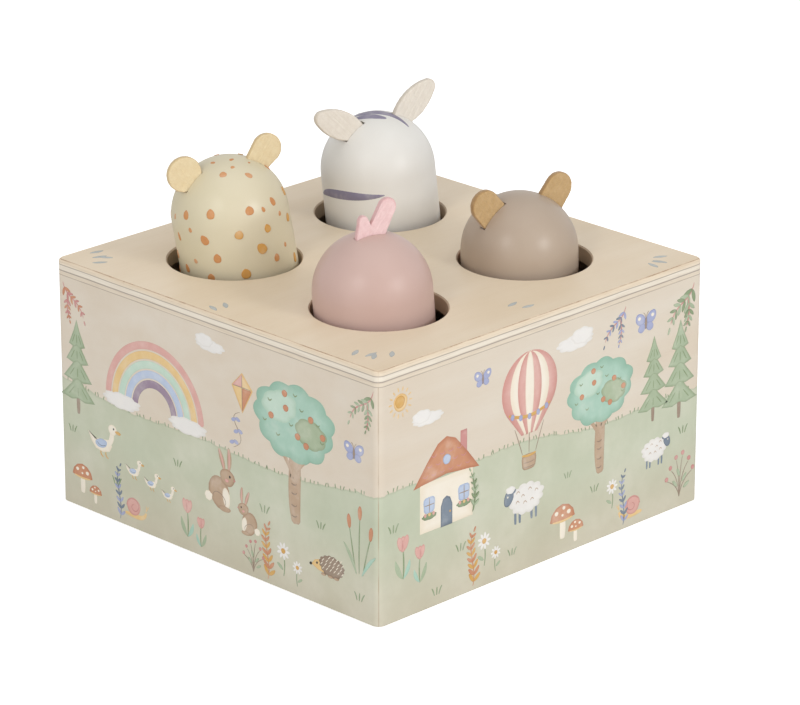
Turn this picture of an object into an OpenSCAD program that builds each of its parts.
// Pop-up animal toy: a square plywood case with four round holes in its deck.
// In each hole a round-topped wooden animal stands on a ball at the top of a coil spring.
// Millimetres. The origin is under the middle of the case, on the surface it stands on, +Z up.

/* [Case] */
// Side of the square case, outside
case_w = 140; // [132:1:170]
// Height of the case, from the surface it stands on to the deck
case_h = 79.5; // [74:0.5:100]
// Thickness of the four side panels
panel_t = 6; // [4:0.5:8]
// Thickness of the top plate
plate_t = 5; // [3:0.5:7]
// Thickness of the base board
base_t = 5; // [4:0.5:8]
// Radius on the upright corners of the case
corner_r = 2.5; // [1.5:0.5:4]
// Chamfer around the upper edge of the top plate
plate_ease = 0.6; // [0.2:0.1:1.2]
// Chamfer around the mouth of each hole
hole_ease = 0.4; // [0.2:0.1:1]
// Gap between the base board and the panels around it
board_gap = 0.1; // [0.05:0.05:0.3]
// Distance between the centres of neighbouring holes
hole_pitch = 62.6; // [58:0.2:66]

/* [Pegs] */
// Diameter of the wooden pegs
peg_d = 36; // [30:0.5:37]
// Length of a peg, from its flat foot to the top of its dome
peg_len = 58; // [52:1:62]
// Play of a peg in its hole, all round
hole_play = 2.6; // [1.8:0.1:3]
// Gap left where a peg comes nearest to the wall of its hole
rim_gap = 0.35; // [0.3:0.05:0.5]
// Diameter of the blind bore in the foot of a peg
bore_d = 26; // [25:0.5:28]
// Depth of the blind bore
bore_depth = 20; // [17:0.5:24]
// Chamfer around the foot of a peg
foot_ease = 0.8; // [0.3:0.1:1.5]
// Direction that the pegs lean in, counted from +X towards +Y
lean_heading = 135; // [120:5:150]

/* [Leopard] */
// Height of the dome's top over the deck, along the leaning peg
leopard_rise = 32.6; // [28:0.2:34]
// Lean of the peg
leopard_lean = 9; // [0:0.5:9.5]
// Where the peg stands in its hole: 1 at the far rim, -1 at the rim that it leans to
leopard_side = 0.9; // [0:0.1:1]
// Turn of the ear line about the peg, from the X direction
leopard_turn = -20; // [-40:5:10]
// How far the ear line lies off the middle of the dome
leopard_ear_off = 2.2; // [0:0.2:4]
// Radius of the round ears
leopard_ear_r = 5.5; // [5:0.1:7]
// Angle between the peg's axis and an ear
leopard_ear_angle = 38; // [32:1:46]
// Distance of the ear's centre from the surface of the dome
leopard_ear_stand = 3.3; // [1:0.1:3.5]

/* [Zebra] */
// Height of the dome's top over the deck, along the leaning peg
zebra_rise = 32.4; // [28:0.2:34]
// Lean of the peg
zebra_lean = 5.5; // [0:0.5:9.5]
// Where the peg stands in its hole: 1 at the far rim, -1 at the rim that it leans to
zebra_side = 0.4; // [0:0.1:1]
// Turn of the ear line about the peg, from the X direction
zebra_turn = -12; // [-40:4:12]
// How far the ear line lies off the middle of the dome
zebra_ear_off = 2.6; // [0:0.2:4]
// Length of the leaf-shaped ears, with the part that is let into the dome
zebra_ear_len = 20.5; // [18:0.5:23]
// Greatest width of the leaf-shaped ears
zebra_ear_w = 9; // [7:0.5:10]
// Radius of the leaf-shaped ears' ends
zebra_ear_tip_r = 1.7; // [1:0.1:2.5]
// Length of the ear that is let into the dome
zebra_ear_sunk = 6.5; // [5:0.5:8]
// Angle between the peg's axis and the root of an ear
zebra_ear_angle = 30.5; // [28:0.5:36]
// Angle between the peg's axis and the direction that an ear points in
zebra_ear_point = 56; // [50:1:60]

/* [Bear] */
// Height of the dome's top over the deck, along the leaning peg
bear_rise = 20.8; // [19:0.2:30]
// Lean of the peg
bear_lean = 1; // [0:0.5:6]
// Where the peg stands in its hole: 1 at the far rim, -1 at the rim that it leans to
bear_side = -0.7; // [-1:0.1:0]
// Turn of the ear line about the peg, from the X direction
bear_turn = -9; // [-39:5:11]
// How far the ear line lies off the middle of the dome
bear_ear_off = 1.2; // [0:0.2:4]
// Width of the ears at their round end
bear_ear_w = 10; // [9:0.2:12]
// Width of the ears at their root
bear_root_w = 10.4; // [9:0.2:12]
// Angle between the peg's axis and an ear
bear_ear_angle = 39; // [32:1:44]
// Distance of the round end's centre from the surface of the dome
bear_ear_stand = 4.3; // [2:0.1:5]
// Depth of the root's centre under the surface of the dome
bear_ear_sunk = 1.5; // [0.5:0.1:3]

/* [Bird] */
// Height of the dome's top over the deck, along the leaning peg
bird_rise = 23.4; // [20:0.2:30]
// Lean of the peg
bird_lean = 4; // [0:0.5:6]
// Where the peg stands in its hole: 1 at the far rim, -1 at the rim that it leans to
bird_side = -0.7; // [-1:0.1:0]
// Turn of the crest about the peg, from the X direction
bird_turn = -19; // [-39:5:11]
// How far the crest lies off the middle of the dome
bird_crest_off = 1.4; // [0:0.2:5]
// Height of the crest's long lobe over the dome
crest_long = 10; // [8:0.2:13]
// Height of the crest's short lobe over the dome
crest_short = 6; // [5.4:0.2:8]
// Radius of the long lobe's tip
long_tip_r = 2.4; // [2:0.1:3.2]
// Radius of the short lobe's tip
short_tip_r = 2.4; // [1.8:0.1:2.8]
// Radius of the long lobe's root
long_root_r = 2.7; // [2.4:0.1:3.4]
// Radius of the short lobe's root
short_root_r = 2.7; // [2.2:0.1:3]
// Distance from the middle of the peg to the long lobe's root
long_root_x = 1.4; // [0.8:0.2:2]
// Distance from the middle of the peg to the short lobe's root, on the other side
short_root_x = 2.2; // [1.8:0.2:2.6]
// How far the long lobe leans out, from root to tip
long_out = 4.9; // [4:0.1:6]
// How far the short lobe leans in over the middle, from root to tip
short_in = 0.9; // [0:0.1:1.2]
// Depth of the lobes' root centres under the top of the dome
crest_sunk = 0.9; // [0.8:0.1:1.6]

/* [Felt] */
// Thickness of the ears and the crest
felt_t = 2; // [1.5:0.1:2.5]
// Gap between a piece of felt and its slot, on each side
slot_gap = 0.15; // [0.1:0.05:0.3]

/* [Springs] */
// Diameter of the spring wire
wire_d = 1.4; // [1:0.1:1.6]
// Diameter of a spring, to the middle of its wire
coil_d = 20; // [18:0.5:21]
// Full turns in each spring
coil_turns = 9; // [6:1:11]
// Gap between the wires of the closed turn at either end
closed_gap = 0.6; // [0.5:0.1:1]
// Gap left between a spring and what it touches
coil_gap = 0.3; // [0.2:0.05:0.4]
// Diameter of the ball in the top of a spring
ball_d = 20; // [19.5:0.5:22]
// Gap between the ball and the ceiling of the peg's bore
ball_gap = 0.3; // [0.2:0.05:0.4]
// Diameter of the spring seat's flange
seat_d = 30; // [27:0.5:36]
// Thickness of the spring seat's flange
seat_t = 6; // [5:0.5:8]
// Height of the boss that centres the spring
boss_h = 5; // [3:0.5:7]
// Chamfer around the seat's flange and boss
seat_ease = 0.8; // [0.3:0.1:1.2]

/* [Screws] */
// Diameter of the screws' shanks
screw_d = 3.5; // [3:0.1:4.5]
// Diameter of the screws' heads
screw_head_d = 7; // [6:0.5:8.5]
// Length of the screws, with their heads
screw_len = 12; // [10.5:0.5:14]
// Gap around a shank in the spring seat
thread_gap = 0.05; // [0.02:0.01:0.1]
// Gap around a shank and a head in the base board
head_gap = 0.2; // [0.1:0.05:0.3]
// How deep the heads lie under the base board's face
head_sunk = 0.2; // [0.1:0.05:0.4]
// Height of a countersunk head's straight rim
head_land = 0.3; // [0.2:0.1:0.5]
// Slope of a countersunk head, from its axis
head_slope = 45; // [40:1:50]
// Depth of the cross recess in the heads
cross_depth = 1.1; // [0.6:0.1:1.3]
// Length of the arms of the cross recess, end to end
cross_len = 3.6; // [2.8:0.1:4]
// Width of the arms of the cross recess
cross_w = 0.9; // [0.6:0.1:1.2]

/* [Hidden] */

$fn = 96;
lobe_steps = 48;                           // corners of the round ends of the crest and the blunt ears
arm_share = 1 / 3;                         // share of a spring that its end directions reach over
over = 1;                                  // how far a cut runs past the face it opens
peg_r = peg_d / 2;
hole_r = peg_r + hole_play;
panel_h = case_h - plate_t;
inside_w = case_w - 2 * panel_t;
coil_r = coil_d / 2;
ball_r = ball_d / 2;
seat_top = base_t + seat_t;
boss_r = coil_r - wire_d / 2 - coil_gap;
coil_foot = seat_top + coil_gap + wire_d / 2;
// The ball rests in the top turn: how far its centre lies over the middle of that turn's wire
ball_lift = sqrt(pow(ball_r + wire_d / 2 + coil_gap, 2) - pow(coil_r, 2));
lean_axis = [-sin(lean_heading), cos(lean_heading), 0];

// The four places, as [X sign, Y sign] of the hole, rise, lean and side
leopard = [[-1, 1], leopard_rise, leopard_lean, leopard_side];
zebra = [[1, 1], zebra_rise, zebra_lean, zebra_side];
bear = [[1, -1], bear_rise, bear_lean, bear_side];
bird = [[-1, -1], bird_rise, bird_lean, bird_side];
places = [leopard, zebra, bear, bird];

// Colours
birch = "#e6d6bd";
painted = "#ddd8c6";
steel = "#b9babd";
sage_cream = "#d8d2b0";
off_white = "#dcdad5";
taupe = "#b5a08c";
dusty_pink = "#d2b0a6";
cream_felt = "#e8d2a4";
ivory_felt = "#e2dcd2";
tan_felt = "#c8a273";
pink_felt = "#efc9c6";

function hole_centre(place) = place[0] * hole_pitch / 2;
function rise(place) = place[1];
function lean(place) = place[2];
// Room for the peg to stand away from the middle of its hole, towards the rim it leans to and away from it
function near_room(place) = hole_r - rim_gap - peg_r / cos(lean(place));
function far_room(place) = near_room(place) - plate_t * tan(lean(place));
function shift(place) = place[3] * (place[3] > 0 ? far_room(place) : near_room(place));

// Distances along a leaning peg, from the deck down
function ball_depth(place) = peg_len - bore_depth - rise(place) + ball_gap + ball_r;
function top_turn_depth(place) = ball_depth(place) + ball_lift;

// Places on the peg's axis, as a distance along it from the deck, up
function lean_dir(place) = [
    sin(lean(place)) * cos(lean_heading), sin(lean(place)) * sin(lean_heading), cos(lean(place))
];
function on_axis(place, up) =
    [hole_centre(place)[0], hole_centre(place)[1], case_h]
    - shift(place) * [cos(lean_heading), sin(lean_heading), 0]
    + up * lean_dir(place);

// ---- Case ----

// A square with round corners, made of two bars and four discs
module round_square(w, r) {
    square([w, w - 2 * r], center = true);
    square([w - 2 * r, w], center = true);
    for (x = [-1, 1], y = [-1, 1]) translate([x, y] * (w / 2 - r)) circle(r);
}

// A slab with round corners and a chamfer around its upper edge
module eased_slab(w, h, r, ease) {
    linear_extrude(h - ease) round_square(w, r);
    translate([0, 0, h - ease]) {
        for (turn = [0, 90]) rotate([90, 0, turn])
            linear_extrude(w - 2 * r, center = true)
                polygon([[-w / 2, 0], [w / 2, 0], [w / 2 - ease, ease], [ease - w / 2, ease]]);
        for (x = [-1, 1], y = [-1, 1]) translate([x, y, 0] * (w / 2 - r)) cylinder(ease, r, r - ease);
    }
}

module top_plate() {
    color(birch) translate([0, 0, panel_h]) difference() {
        eased_slab(case_w, plate_t, corner_r, plate_ease);
        for (place = places) translate(hole_centre(place)) {
            translate([0, 0, -over]) cylinder(plate_t + 2 * over, r = hole_r);
            translate([0, 0, plate_t - hole_ease])
                cylinder(hole_ease + over, hole_r, hole_r + hole_ease + over);
        }
    }
}

// One side panel, on the -Y side, with mitred ends and the case's round outer corners
module side_panel() {
    color(painted) intersection() {
        linear_extrude(panel_h) round_square(case_w, corner_r);
        linear_extrude(panel_h) polygon([
            [-case_w / 2, -case_w / 2], [case_w / 2, -case_w / 2],
            [inside_w / 2, -inside_w / 2], [-inside_w / 2, -inside_w / 2]
        ]);
    }
}

module front_panel() { side_panel(); }
module left_panel() { rotate(-90) side_panel(); }
module back_panel() { rotate(180) side_panel(); }
module right_panel() { rotate(90) side_panel(); }

// The form of a countersunk screw, head down, grown by a gap: one outline turned about its axis
module screw_form(gap, foot, tip) {
    head_r = screw_head_d / 2;
    cone_h = (head_r - screw_d / 2) / tan(head_slope);
    rim = head_sunk + head_land;
    rotate_extrude() polygon([
        [0, foot], [head_r + gap, foot], [head_r + gap, rim],
        [screw_d / 2 + gap, rim + cone_h], [screw_d / 2 + gap, tip], [0, tip]
    ]);
}

module base_board() {
    color(birch) difference() {
        linear_extrude(base_t) square(inside_w - 2 * board_gap, center = true);
        for (place = places) translate(hole_centre(place)) screw_form(head_gap, -over, base_t + over);
    }
}

module seat_screws() {
    color(steel) for (place = places) translate(hole_centre(place)) difference() {
        screw_form(0, head_sunk, screw_len);
        for (turn = [0, 90]) rotate(turn) translate([0, 0, head_sunk + cross_depth / 2 - over / 2])
            cube([cross_len, cross_w, cross_depth + over], center = true);
    }
}

// ---- Springs and what holds them ----

module spring_seat(place) {
    color(birch) translate(hole_centre(place)) difference() {
        union() {
            translate([0, 0, base_t]) cylinder(seat_t - seat_ease, d = seat_d);
            translate([0, 0, seat_top - seat_ease]) cylinder(seat_ease, seat_d / 2, seat_d / 2 - seat_ease);
            translate([0, 0, seat_top]) cylinder(boss_h - seat_ease, r = boss_r);
            translate([0, 0, seat_top + boss_h - seat_ease]) cylinder(seat_ease, boss_r, boss_r - seat_ease);
        }
        translate([0, 0, base_t - over]) cylinder(screw_len - base_t + 2 * over, r = screw_d / 2 + thread_gap);
    }
}

// The spring's centre line is a cubic curve: upright at the foot, along the peg's axis at the top
function spring_foot(place) = [hole_centre(place)[0], hole_centre(place)[1], coil_foot];
function spring_head(place) = on_axis(place, -top_turn_depth(place));
function spring_arm(place) = arm_share * norm(spring_head(place) - spring_foot(place));
function centre_line(place, t) =
    let (a = spring_foot(place), d = spring_head(place),
         b = a + [0, 0, spring_arm(place)], c = d - spring_arm(place) * lean_dir(place), s = 1 - t)
    s * s * s * a + 3 * s * s * t * b + 3 * s * t * t * c + t * t * t * d;

// Height of the wire, as a share of the spring's, after a number of turns: closed turns at both ends
function closed_share(place) = (wire_d + closed_gap) / norm(spring_head(place) - spring_foot(place));
function climb(place, turn) =
    let (c = closed_share(place))
    turn < 1 ? turn * c
    : turn > coil_turns - 1 ? 1 - (coil_turns - turn) * c
    : c + (1 - 2 * c) * (turn - 1) / (coil_turns - 2);

// A point of the wire's middle after a number of turns
function wire_point(place, turn) =
    let (tilt = lean(place) * climb(place, turn), a = 360 * turn,
         x = [cos(lean_heading), sin(lean_heading), 0], y = lean_axis,
         across = cos(tilt) * x - sin(tilt) * [0, 0, 1])
    centre_line(place, climb(place, turn)) + path_r * (cos(a) * across - sin(a) * y);

ring_steps = 12;   // rings in each turn
ring_sides = 6;    // corners of the wire's section
// Radius to the path's corners, so that the middles of its straight steps lie on the coil's radius
path_r = coil_r / cos(180 / ring_steps);
// The wire's middle: the turns, with a straight end one wire diameter long at either end
function wire_path(place) =
    let (turns = [for (i = [0 : coil_turns * ring_steps]) wire_point(place, i / ring_steps)],
         last = len(turns) - 1,
         start = turns[0] - turns[1], finish = turns[last] - turns[last - 1])
    concat([turns[0] + wire_d * start / norm(start)], turns,
           [turns[last] + wire_d * finish / norm(finish)]);

// Direction of the path at a point, and one corner of the wire's section there
function path_dir(path, i) =
    let (d = path[min(i + 1, len(path) - 1)] - path[max(i - 1, 0)]) d / norm(d);
function section_corner(path, i, k) =
    let (d = path_dir(path, i), side = cross(d, [0, 0, 1]), u = side / norm(side), v = cross(u, d),
         a = 360 * k / ring_sides)
    path[i] + wire_d / 2 * (cos(a) * u + sin(a) * v);

// A closed tube along a path: rings of corners, side triangles and two end fans
module wire_tube(path) {
    n = len(path);
    corners = [for (i = [0 : n - 1], k = [0 : ring_sides - 1]) section_corner(path, i, k)];
    sides = [for (i = [0 : n - 2], k = [0 : ring_sides - 1])
        let (a = i * ring_sides + k, b = i * ring_sides + (k + 1) % ring_sides)
        each [[a, b, a + ring_sides], [b, b + ring_sides, a + ring_sides]]];
    ends = [for (k = [1 : ring_sides - 2])
        each [[0, k + 1, k], [(n - 1) * ring_sides, (n - 1) * ring_sides + k, (n - 1) * ring_sides + k + 1]]];
    polyhedron(corners, concat(sides, ends), convexity = 10);
}

// Least gap of a spring to itself, between points more than half a turn apart along the wire
function self_gap(path) = min([for (i = [0 : len(path) - 1], j = [i + ring_steps / 2 : 1 : len(path) - 1])
    norm(path[i] - path[j])]) - wire_d;

module spring(place) {
    path = wire_path(place);
    echo("least gap of a spring to itself, mm", self_gap(path));
    color(steel) wire_tube(path);
}

module ball(place) {
    color(birch) translate(on_axis(place, -ball_depth(place))) sphere(ball_r);
}

// ---- Figures ----

// Puts a child, drawn about the centre of the dome with the peg along Z, in its place
module on_peg(place) {
    translate(on_axis(place, rise(place) - peg_r)) rotate(lean(place), lean_axis) children();
}

// A round-topped peg with a blind bore in its foot
module peg() {
    foot = peg_r - peg_len;
    difference() {
        union() {
            sphere(peg_r);
            translate([0, 0, foot + foot_ease]) cylinder(-foot - foot_ease, r = peg_r);
            translate([0, 0, foot]) cylinder(foot_ease, peg_r - foot_ease, peg_r);
        }
        translate([0, 0, foot - over]) cylinder(bore_depth + over, d = bore_d);
    }
}

// Draws a flat outline as a sheet that stands on the dome, across the turned X direction
module sheet(turn, off, thick) {
    rotate(turn) translate([0, -off, 0]) rotate([90, 0, 0]) linear_extrude(thick, center = true) children();
}

// Ear outlines, in the plane of the ears, from the centre of the dome; grow makes the slot
module round_ear(grow) {
    a = leopard_ear_angle;
    translate([sin(a), cos(a)] * (peg_r + leopard_ear_stand)) circle(leopard_ear_r + grow);
}

module leaf_ear(grow) {
    a = zebra_ear_angle;
    half = zebra_ear_len / 2 - zebra_ear_tip_r;
    side_w = zebra_ear_w / 2 - zebra_ear_tip_r;
    r = (half * half + side_w * side_w) / (2 * side_w);
    translate([sin(a), cos(a)] * peg_r) rotate(-zebra_ear_point)
        translate([0, zebra_ear_len / 2 - zebra_ear_sunk]) offset(r = zebra_ear_tip_r + grow)
            intersection_for (side = [-1, 1]) translate([side * (r - side_w), 0]) circle(r);
}

module blunt_ear(grow) {
    way = [sin(bear_ear_angle), cos(bear_ear_angle)];
    lobe(way * (peg_r - bear_ear_sunk), bear_root_w / 2 + grow, way * (peg_r + bear_ear_stand), bear_ear_w / 2 + grow);
}

// The crest: a long lobe that leans out and a short one beside it, which leans towards it
module crest(grow) {
    root_h = peg_r - crest_sunk;
    lobe([long_root_x, root_h], long_root_r + grow,
         [long_root_x + long_out, peg_r + crest_long - long_tip_r], long_tip_r + grow);
    lobe([-short_root_x, root_h], short_root_r + grow,
         [short_in - short_root_x, peg_r + crest_short - short_tip_r], short_tip_r + grow);
}

module lobe(root, root_r, tip, tip_r) {
    hull() {
        translate(root) circle(root_r, $fn = lobe_steps);
        translate(tip) circle(tip_r, $fn = lobe_steps);
    }
}

module leopard_sheet(side, grow) {
    sheet(leopard_turn, leopard_ear_off, felt_t + 2 * grow) mirror([1 - side, 0]) round_ear(grow);
}

module zebra_sheet(side, grow) {
    sheet(zebra_turn, zebra_ear_off, felt_t + 2 * grow) mirror([1 - side, 0]) leaf_ear(grow);
}

module bear_sheet(side, grow) {
    sheet(bear_turn, bear_ear_off, felt_t + 2 * grow) mirror([1 - side, 0]) blunt_ear(grow);
}

module crest_sheet(grow) {
    sheet(bird_turn, bird_crest_off, felt_t + 2 * grow) crest(grow);
}

module leopard_body() {
    color(sage_cream) on_peg(leopard) difference() {
        peg();
        for (side = [0, 1]) leopard_sheet(side, slot_gap);
    }
}

module zebra_body() {
    color(off_white) on_peg(zebra) difference() {
        peg();
        for (side = [0, 1]) zebra_sheet(side, slot_gap);
    }
}

module bear_body() {
    color(taupe) on_peg(bear) difference() {
        peg();
        for (side = [0, 1]) bear_sheet(side, slot_gap);
    }
}

module bird_body() {
    color(dusty_pink) on_peg(bird) difference() {
        peg();
        crest_sheet(slot_gap);
    }
}

module leopard_left_ear() { color(cream_felt) on_peg(leopard) leopard_sheet(0, 0); }
module leopard_right_ear() { color(cream_felt) on_peg(leopard) leopard_sheet(1, 0); }
module zebra_left_ear() { color(ivory_felt) on_peg(zebra) zebra_sheet(0, 0); }
module zebra_right_ear() { color(ivory_felt) on_peg(zebra) zebra_sheet(1, 0); }
module bear_left_ear() { color(tan_felt) on_peg(bear) bear_sheet(0, 0); }
module bear_right_ear() { color(tan_felt) on_peg(bear) bear_sheet(1, 0); }
module bird_crest() { color(pink_felt) on_peg(bird) crest_sheet(0); }

top_plate();
front_panel();
left_panel();
back_panel();
right_panel();
base_board();
seat_screws();
spring_seat(leopard);  // leopard_spring_seat
spring_seat(zebra);  // zebra_spring_seat
spring_seat(bear);  // bear_spring_seat
spring_seat(bird);  // bird_spring_seat
spring(leopard);  // leopard_spring
spring(zebra);  // zebra_spring
spring(bear);  // bear_spring
spring(bird);  // bird_spring
ball(leopard);  // leopard_ball
ball(zebra);  // zebra_ball
ball(bear);  // bear_ball
ball(bird);  // bird_ball
leopard_body();
zebra_body();
bear_body();
bird_body();
leopard_left_ear();
leopard_right_ear();
zebra_left_ear();
zebra_right_ear();
bear_left_ear();
bear_right_ear();
bird_crest();
